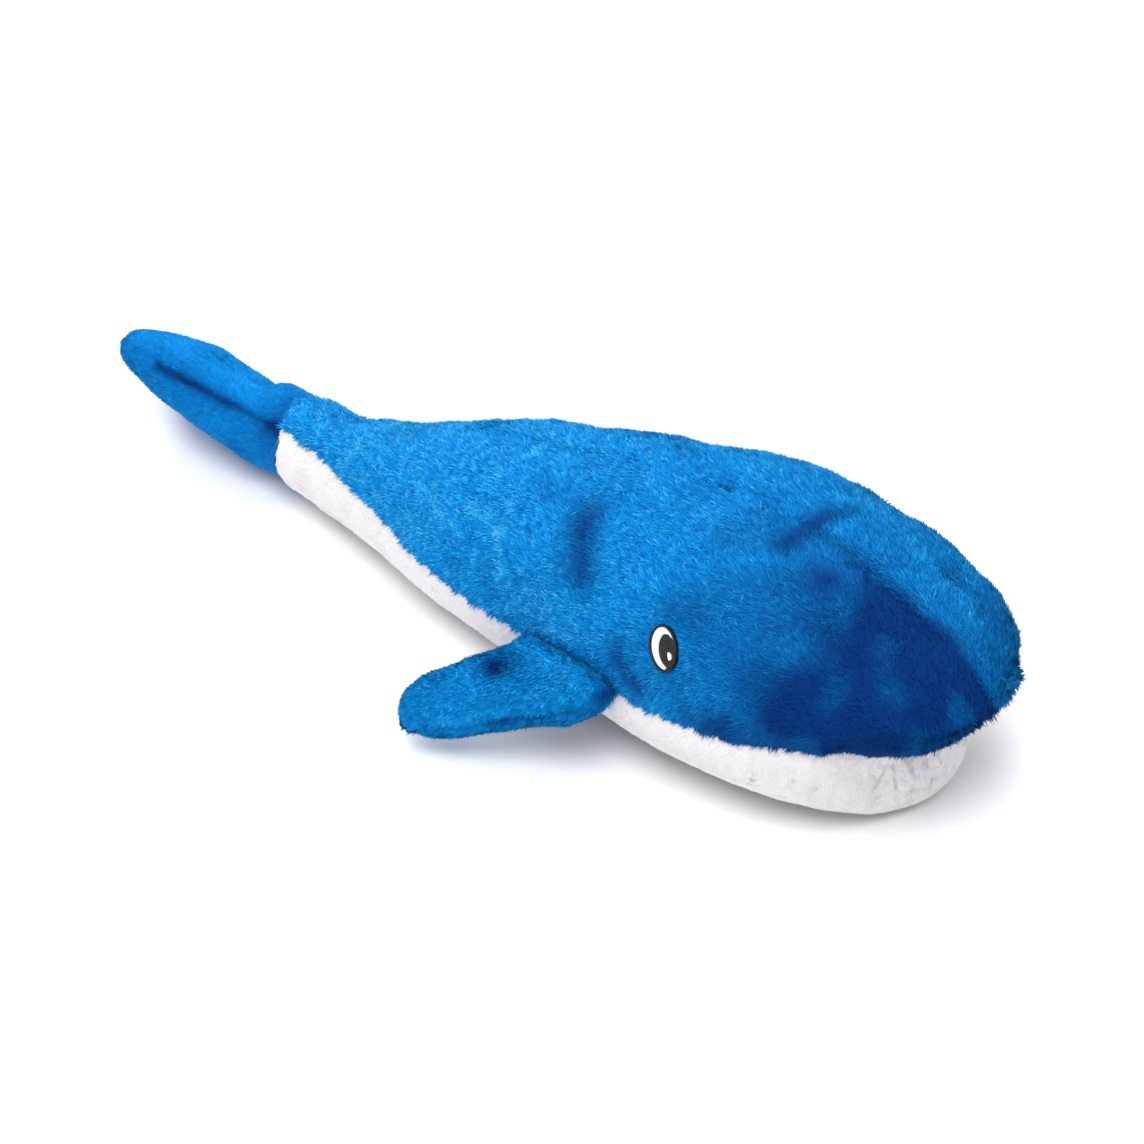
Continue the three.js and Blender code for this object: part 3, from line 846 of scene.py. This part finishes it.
def on_eye(side):
    """A map from an eye's own plane on to the body: the height of the body's surface over the
    plane is a fitted quadratic."""
    axes, middle = eye_frame(side)
    place, angle = eye_spot(side)
    places, angles = np.meshgrid(
        place + np.linspace(-patch_places, patch_places, patch_samples),
        angle + np.linspace(-patch_angles, patch_angles, patch_samples))
    near = (body_surface(places.ravel(), angles.ravel()) - middle) @ axes.T / MM

    def terms(u, v):
        return np.stack([u * u, u * v, v * v, u, v, np.ones_like(u)], -1)

    fit = np.linalg.lstsq(terms(near[:, 0], near[:, 1]), near[:, 2], rcond=None)[0]

    def placed(u, v, height):
        """The place of a spot of the eye's plane at a height over the body's surface."""
        z = terms(u, v) @ fit + height
        return middle + np.stack([u, v, z], -1) * MM @ axes

    return placed


def ray_reach(oval, origin, turn):
    """How far a ray from the middle of one oval runs to the edge of another round it: the greater
    root of the quadratic that puts its end on that edge."""
    dx, dy = np.cos(turn) / oval.half_width, np.sin(turn) / oval.half_height
    ox = (origin.forward - oval.forward) / oval.half_width
    oy = (origin.rise - oval.rise) / oval.half_height
    a, b, c = dx * dx + dy * dy, ox * dx + oy * dy, ox * ox + oy * oy - 1
    return (-b + np.sqrt(np.maximum(b * b - a * c, 0))) / a


def stitches(placed, start, end, crown, low, seed):
    """Threads from start to end in the eye's plane: each is a tube of oval section along its line,
    which rises as an arch and dives under at both ends."""
    rng = np.random.default_rng(seed)
    count, steps, sides = len(start), thread_steps, thread_sides
    t = np.linspace(0, 1, steps)[None, :, None]
    start = start + rng.normal(size=start.shape) * thread_shift
    end = end + rng.normal(size=end.shape) * thread_shift
    line = end - start
    across = unit(np.stack([-line[:, 1], line[:, 0]], 1))[:, None, None]
    round_turn = (np.arange(sides) * math.tau / sides)[None, None, :]
    width = thread_half * (0.55 + 0.45 * np.sin(math.pi * t) ** 0.4)
    flat = (start[:, None] + line[:, None] * t)[:, :, None]
    flat = flat + across * (width * np.cos(round_turn))[..., None]
    arch = low + crown * np.sin(math.pi * t) ** 0.5 - 0.5 * np.abs(2 * t - 1) ** 8
    height = arch + width * 0.8 * np.sin(round_turn) + rng.normal(size=(count, 1, 1)) * thread_lift
    tubes = placed(flat[..., 0].ravel(), flat[..., 1].ravel(), height.ravel())
    ends = np.stack([start, end], 1)
    tip_height = np.full(2 * count, low - thread_tip_depth)
    tips = placed(ends[..., 0].ravel(), ends[..., 1].ravel(), tip_height)
    number = np.arange(count * steps * sides).reshape(count, steps, sides)
    after = np.roll(number, -1, 2)
    tip = count * steps * sides + np.arange(2 * count).reshape(count, 2)
    a, b, c, d = (x.ravel() for x in (number[:, :-1], number[:, 1:], after[:, 1:], after[:, :-1]))
    first = np.stack([np.repeat(tip[:, 0], sides), after[:, 0].ravel(), number[:, 0].ravel()], 1)
    last = np.stack([np.repeat(tip[:, 1], sides), number[:, -1].ravel(), after[:, -1].ravel()], 1)
    faces = np.concatenate([np.stack([a, d, c], 1), np.stack([a, c, b], 1), first, last])
    shade = rng.uniform(0.1, 0.9, count)
    shades = np.concatenate([shade.repeat(steps * sides), shade.repeat(2)])
    return np.concatenate([tubes, tips]), faces, shades


def padding(placed, inner, outer, top=padding_top):
    """A closed ring of cloth under the threads, between two closed lines of the eye's plane: both
    lines at the top height, and again at the bottom height."""
    count = len(inner)
    flat = np.concatenate([outer, inner, inner, outer])
    height = np.repeat([top, top, padding_bottom, padding_bottom], count)
    points = placed(flat[:, 0], flat[:, 1], height)
    a = np.arange(4 * count).reshape(4, count)
    b = np.roll(a, -1, 0)
    c, d = np.roll(b, -1, 1), np.roll(a, -1, 1)
    faces = [np.stack([x.ravel() for x in corners], 1) for corners in ((a, d, c), (a, c, b))]
    return points, np.concatenate(faces), np.full(len(points), padding_tone)


def joined(name, parts, side):
    """One mesh from several, with the faces turned for the left side, whose plane is a mirror."""
    starts = np.cumsum([0] + [len(points) for points, _, _ in parts])
    points = np.concatenate([points for points, _, _ in parts])
    faces = np.concatenate([faces + start for (_, faces, _), start in zip(parts, starts)])
    tone = np.concatenate([tone for _, _, tone in parts])
    spread = 0.5 + np.linspace(-0.4, 0.4, len(tone))
    uv = np.stack([map_edge + (1 - 2 * map_edge) * tone, spread], 1)
    return mesh_object(name, points, turned(faces, side), {"tone": tone}, uv)


def chords(oval, hole=None):
    """Level lines across an oval at the thread's pitch, parted where a hole lies. Half of a line is
    the oval's half width times the root of 1 less the square of its share of the height."""
    rise = np.arange(-oval.half_height + 0.3, oval.half_height - 0.2, thread_pitch)
    half = oval.half_width * np.sqrt(1 - (rise / oval.half_height) ** 2)
    v = rise + oval.rise
    start, end = (np.stack([oval.forward + reach, v], 1) for reach in (-half, half))
    if hole is None:
        return start, end
    depth = (v - hole.rise) / (hole.half_height + stitch_gap)
    cut = np.abs(depth) < 1
    opening = (hole.half_width + stitch_gap) * np.sqrt(np.maximum(1 - depth * depth, 0))
    near = np.where(cut, hole.forward - opening, end[:, 0])
    far = np.stack([hole.forward + opening, v], 1)[cut]
    whole = far[:, 0] < end[cut, 0] - least_chord
    return (np.concatenate([start, far[whole]]),
            np.concatenate([np.stack([near, v], 1), end[cut][whole]]))


def rays(oval, count):
    """Rays from an oval's middle all the way round: their turns, and a map from their reaches to
    spots of the eye's plane."""
    turn = np.linspace(-math.pi, math.pi, count, endpoint=False)
    ray = np.stack([np.cos(turn), np.sin(turn)], 1)

    def spot(reach):
        return np.array([oval.forward, oval.rise]) + ray * reach[:, None]

    return turn, spot


def make_eye(name, side):
    """An eye of satin stitches: threads run out from the pupil over the white crescent and over the
    black border, and level across the pupil and its glint. The white lies behind and over the
    pupil, and the border meets the pupil in front of it and under it."""
    placed = on_eye(side)
    turn, spot = rays(eye_pupil, eye_rays)
    pupil, field, edge = (ray_reach(oval, eye_pupil, turn)
                          for oval in (eye_pupil, eye_field, eye_edge))
    front = smooth(*pupil_front[:2], turn) * (1 - smooth(*pupil_front[2:], turn))
    brink = np.maximum(field * (1 - front) + (pupil + least_white) * front, pupil + least_white)
    wide = brink - pupil > least_crescent
    brim = np.maximum(brink - border_gap, pupil + least_white)
    ring, shine = rays(eye_glint, glint_rays)
    to_pupil, to_glint = (ray_reach(oval, eye_glint, ring) for oval in (eye_pupil, eye_glint))
    layers = [
        ("outline", black_thread, "black_thread", [
            stitches(placed, spot(brink + border_gap), spot(edge), 0.25, -0.25, 5),
            padding(placed, spot(brink + border_gap), spot(edge - 0.2)),
        ]),
        ("white", white_thread, "white_thread", [
            stitches(placed, spot(pupil + stitch_gap)[wide], spot(brink - border_gap)[wide],
                     0.3, -0.25, 6),
            padding(placed, spot(pupil + stitch_gap), spot(brim)),
        ]),
        ("pupil", black_thread, "black_thread", [
            stitches(placed, *chords(eye_pupil, eye_glint), 0.4, -0.2, 7),
            padding(placed, shine(to_glint + stitch_gap), shine(to_pupil - stitch_gap)),
        ]),
        ("glint", white_thread, "white_thread", [
            stitches(placed, *chords(eye_glint), 0.3, 0.0, 8),
            padding(placed, shine(np.full(len(ring), stitch_gap)), shine(to_glint - stitch_gap),
                    top=-0.3),
        ]),
    ]
    for layer, material, slot, parts in layers:
        piece = joined(f"{name}_{layer}_stitches", parts, side)
        dress(piece, material, f"{name}_{layer}")


def clear_of_eyes(points):
    """The share of its length that the pile keeps at each point: a stub under an eye, and a smooth
    step up to 1 by the square of the distance from it, measured in clearings."""
    kept = np.ones(len(points))
    for side in (1, -1):
        axes, middle = eye_frame(side)
        away = (((points - middle) @ axes.T / MM / eye_clearing) ** 2).sum(1)
        kept = kept * (eye_stub + (1 - eye_stub) * smooth(*eye_brink, away))
    return kept


# Scene

def make_camera():
    """The camera: it stands off its target by its distance, at its azimuth and elevation."""
    azimuth, elevation = math.radians(camera_azimuth), math.radians(camera_elevation)
    level = math.cos(elevation)
    back = Vector((math.sin(azimuth) * level, -math.cos(azimuth) * level, math.sin(elevation)))
    data = bpy.data.cameras.new("camera")
    data.lens, data.sensor_width = camera_lens, camera_sensor
    camera = bpy.data.objects.new("camera", data)
    roll = Matrix.Rotation(math.radians(camera_roll), 4, "Z")
    turn = (-back).to_track_quat("-Z", "Y").to_matrix().to_4x4() @ roll
    camera.matrix_world = Matrix.Translation(camera_target + back * camera_distance) @ turn
    bpy.context.scene.collection.objects.link(camera)
    bpy.context.scene.camera = camera


def area_light(name, place, aim, size, power):
    """A round lamp at one place, aimed at another."""
    data = bpy.data.lights.new(name, "AREA")
    data.shape, data.size, data.energy = "DISK", size, power
    light = bpy.data.objects.new(name, data)
    light.location = place
    light.rotation_euler = (Vector(aim) - Vector(place)).to_track_quat("-Z", "Y").to_euler()
    bpy.context.scene.collection.objects.link(light)


def make_studio():
    """A pale floor under two soft lamps. The world is white where it is seen or mirrored, and
    shines at a plain level."""
    world = bpy.data.worlds.new("studio")
    bpy.context.scene.world = world
    world.use_nodes = True
    sky = Nodes(world.node_tree)
    seen = sky.node("ShaderNodeLightPath", output="Is Camera Ray")
    for other in ("Is Glossy Ray", "Is Transmission Ray"):
        seen = seen.math("MAXIMUM", seen, sky.node("ShaderNodeLightPath", output=other))
    background = sky.tree.nodes["Background"].inputs
    sky.feed(background["Strength"], seen * (1 - studio_level) + studio_level)
    sky.feed(background["Color"], (1, 1, 1, 1))
    points = np.array([[-1, -1, 0], [1, -1, 0], [1, 1, 0], [-1, 1, 0]]) * floor_reach
    floor = mesh_object("floor", points, np.array([[0, 1, 2], [0, 2, 3]]))
    finish = Finish("pale_floor")
    finish.set(Base_Color=srgb(250, 250, 250), Roughness=1.0, Specular_IOR_Level=0.0)
    floor.data.materials.append(finish.material)
    floor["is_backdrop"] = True
    area_light("key", (0.5, -1.2, 2.4), (0, 0, 0.05), 1.8, key_power)
    area_light("back", (-1.4, 1.0, 1.8), (0, 0, 0.05), 1.6, back_power)


make_camera()
make_studio()
blue = plush("blue_plush", [
    (0.0, srgb(0, 96, 176)), (0.3, srgb(0, 128, 206)), (0.65, srgb(10, 158, 230)),
    (1.0, srgb(120, 206, 248)),
], [
    (0.0, srgb(0, 36, 96)), (0.5, srgb(0, 58, 128)), (1.0, srgb(6, 94, 176)),
])
white = plush("white_plush", [
    (0.0, srgb(234, 231, 234)), (0.4, srgb(248, 245, 247)), (1.0, srgb(254, 252, 253)),
], [
    (0.0, srgb(180, 176, 182)), (0.5, srgb(205, 200, 206)), (1.0, srgb(225, 221, 226)),
])
black_thread = thread("black_thread", srgb(10, 10, 12), srgb(34, 32, 36))
white_thread = thread("white_thread", srgb(225, 224, 226), srgb(248, 247, 248))
fibre_fill = fibre()

long_pile = Cloth(
    pile=4.8 * MM, lean=math.radians(62), spacing=1.0 * MM, comb=(-1, 0, 0.05), hang=1.2,
    swirl=0.25, tangle=0.35, tone=0.46, speckle=0.37, dip=1.0 * MM, dip_width=3.2 * MM)
tail_pile = long_pile._replace(
    pile=2.6 * MM, comb=(-1, 0, -0.2), hang=0.5, tangle=0.15, tone=0.38, speckle=0.16, dip=0.6 * MM)
flipper_pile = long_pile._replace(
    pile=3.4 * MM, hang=0.1, tone=0.44, speckle=0.28, dip=1.4 * MM)
white_pile = Cloth(
    pile=1.5 * MM, lean=math.radians(42), spacing=0.8 * MM, comb=(-1, 0, -0.6), hang=0.5,
    swirl=0.15, tangle=0.12, tone=0.8, speckle=0.1, dip=2.6 * MM, dip_width=4.5 * MM)

# Marks of folds, dents and brushed pile, whose darkness is painted shade in the folds and dents
# together with the deeper colour of brushed pile, and below zero painted light on raised creases
# and lighter patches. Each runs from a place and an angle in degrees to another, with its width
# in millimetres, its darkness and its depth in millimetres.
near_marks = [
    (0.474, 60, 0.492, 36, 12, 0.78, 2.2),
    (0.622, 80, 0.631, 107, 6.5, 0.55, 1.2),
    (0.68, 90, 0.90, 90, 7, 0.25, 1.6),
    (0.75, 86, 0.88, 88, 14, 0.2, 0),
    (0.721, 19, 0.837, 34, 11, 0.2, 0),
    (0.686, 78, 0.70, 74, 12, 0.2, 0.3),
    (0.546, 14, 0.567, 7, 8, 0.65, 0.6),
    (0.584, 39, 0.60, 42, 9, 0.4, 0.4),
    (0.643, 4, 0.66, 8, 8, 0.2, 0),
    (0.735, 41, 0.745, 46, 12, -0.14, 0),
    (0.80, 47, 0.83, 38, 13, 0.3, 0),
    (0.693, 65, 0.70, 60, 13, -0.13, 0),
    (0.648, 14, 0.66, 12, 12, -0.2, 0),
    (0.486, 20, 0.486, 12, 12, -0.2, 0),
    (0.65, 57, 0.66, 52, 12, -0.1, 0),
    (0.45, 12, 0.50, 8, 13, -0.3, 0),
    (0.185, 13, 0.183, 47, 2.5, -0.8, -0.6),
    (0.183, 47, 0.19, 88, 2.5, -0.8, -0.6),
    (0.311, 38, 0.377, 29, 2.5, -0.8, -0.6),
    (0.373, 44, 0.418, 39, 2.5, -0.8, -0.6),
    (0.418, 39, 0.427, 21, 2.5, -0.8, -0.6),
    (0.392, 88, 0.38, 57, 3, -0.8, -0.8),
    (0.456, 65, 0.43, 66, 8, 0.2, 0.5),
    (0.074, 78, 0.112, 68, 8, 0.1, 2.5),
]
far_marks = mirrored(near_marks, darkness_share=0.5) + [
    (0.735, 124, 0.735, 120, 8, 0.2, 2.0),
    (0.835, 111, 0.84, 114, 12, 0.25, 0.4),
    (0.64, 127, 0.84, 114, 24, 0, 5.0),
    (0.77, 122, 0.88, 112, 18, 0, 2.5),
    (0.622, 93, 0.631, 107, 6.5, 0.45, 1.0),
]
chin_marks = [
    (0.944, 343, 0.918, 333, 1.2, 0.9, 0.8),
]
tail_marks = [
    (0.02, 3, 0.14, 2, 7, 0.6, 0.8),
    (0.05, 2, 0.68, 0, 3.2, 0.75, 0.9),
    (0.4, 3, 0.68, 1, 8, 0.2, 0.4),
    (0.118, 38, 0.118, 60, 9, 0.4, 0.5),
    (0.385, 65, 0.40, 105, 7, 0.2, 3.5),
    (0.33, 83, 0.28, 83, 8, 0, -2.0),
    (0.05, 200, 0.1, 350, 10, 0.3, 0.3),
]
flipper_marks = [
    (0.46, 66, 0.48, 74, 7, 1.0, 1.5),
    (0.2, 176, 0.70, 178, 4, 0.9, 1.2),
    (0.25, 208, 0.45, 204, 9, 0, -4.0),
    (0.285, 100, 0.30, 116, 8, -0.4, 0),
    (0.72, 104, 0.78, 108, 7, -0.3, 0),
]


def body_painted_shade(place, angle):
    """How far the pile is brushed and shaded: brushed forwards and deeper on the head, with painted
    shade most on the right of the ridge and less on its far side, where painted light stands, and
    lighter towards the tail as painted light."""
    far = smooth(*np.radians(ridge_degrees), angle)
    head = smooth(*head_places, place) * (head_brushed_and_shaded - far_side_painted_light * far)
    return head - tail_end_painted_light * (1 - smooth(*tail_end_places, place))


def dress(piece, material, node, bend=None):
    """Gives a piece its material and hides the imported part of the node that it stands for.
    Without a bend the piece is carried by the body; with a bend its placing is applied to its mesh,
    and the bend's body and places are not used."""
    piece.data.materials.append(material)
    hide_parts(node)
    if bend is None:
        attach(piece, "body")
    else:
        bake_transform(piece)


body_panel = Panel(body_surface, 1, 0, right_angle, last_place, (1, 1, 1, 0), near_marks)
for name, panel, seed in (
        ("right", body_panel, 11),
        ("left", body_panel._replace(low=right_angle, high=2 * right_angle, marks=far_marks), 21)):
    piece = plush_panel(f"back_plush_{name}", long_pile, panel, seed, clear_of_eyes, body_painted_shade)
    dress(piece, blue, f"back_panel_{name}")
under_body = body_panel._replace(low=2 * right_angle, high=4 * right_angle, marks=chin_marks)
dress(plush_panel("belly_plush", white_pile, under_body, 31),
      white, "belly_panel")
dress(stuffing("body_stuffing", body_surface, 1, 0.02, 0.76, 14 * MM, 35),
      fibre_fill, "body_filling")

tail_bend = ("tail", tail_origin, tail_origin - tail_axes[0] * tail_bend_length)
for level, low, seed in (("upper", 0, 41), ("lower", math.pi, 51)):
    panel = Panel(tail_surface, -1, low, low + math.pi, 1.0, (1, 1, 1, 1), tail_marks)
    dress(plush_panel(f"tail_plush_{level}", tail_pile, panel, seed),
          blue, f"tail_{level}_panel", bend=tail_bend)
dress(stuffing("tail_stuffing", tail_surface, -1, 0.04, 0.72, 9 * MM, 55),
      fibre_fill, "tail_filling", bend=tail_bend)

for name, side, marks, seeds in (("right", 1, flipper_marks, (161, 171)),
                                 ("left", -1, mirrored(flipper_marks), (61, 71))):
    axes, origin, _ = flipper_frame(side)
    surface = flipper_surface(side)
    cloth = flipper_pile._replace(comb=tuple(axes[0] + np.array([-0.2, 0, -0.1])))
    bend = (f"flipper_{name}", origin, origin + axes[0] * flipper_bend_length)
    for level, low, seed in zip(("upper", "lower"), (0, math.pi), seeds):
        panel = Panel(surface, 1, low, low + math.pi, 1.0, (1, 1, 0, 1), marks)
        dress(plush_panel(f"flipper_plush_{name}_{level}", cloth, panel, seed),
              blue, f"flipper_{name}_{level}_panel", bend=bend)
    dress(stuffing(f"flipper_stuffing_{name}", surface, 1, 0.12, 0.92, 7.5 * MM, 75),
          fibre_fill, f"flipper_{name}_filling", bend=bend)
    make_eye(f"eye_{name}", side)

bpy.context.scene.view_settings.view_transform = "Standard"

low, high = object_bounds()
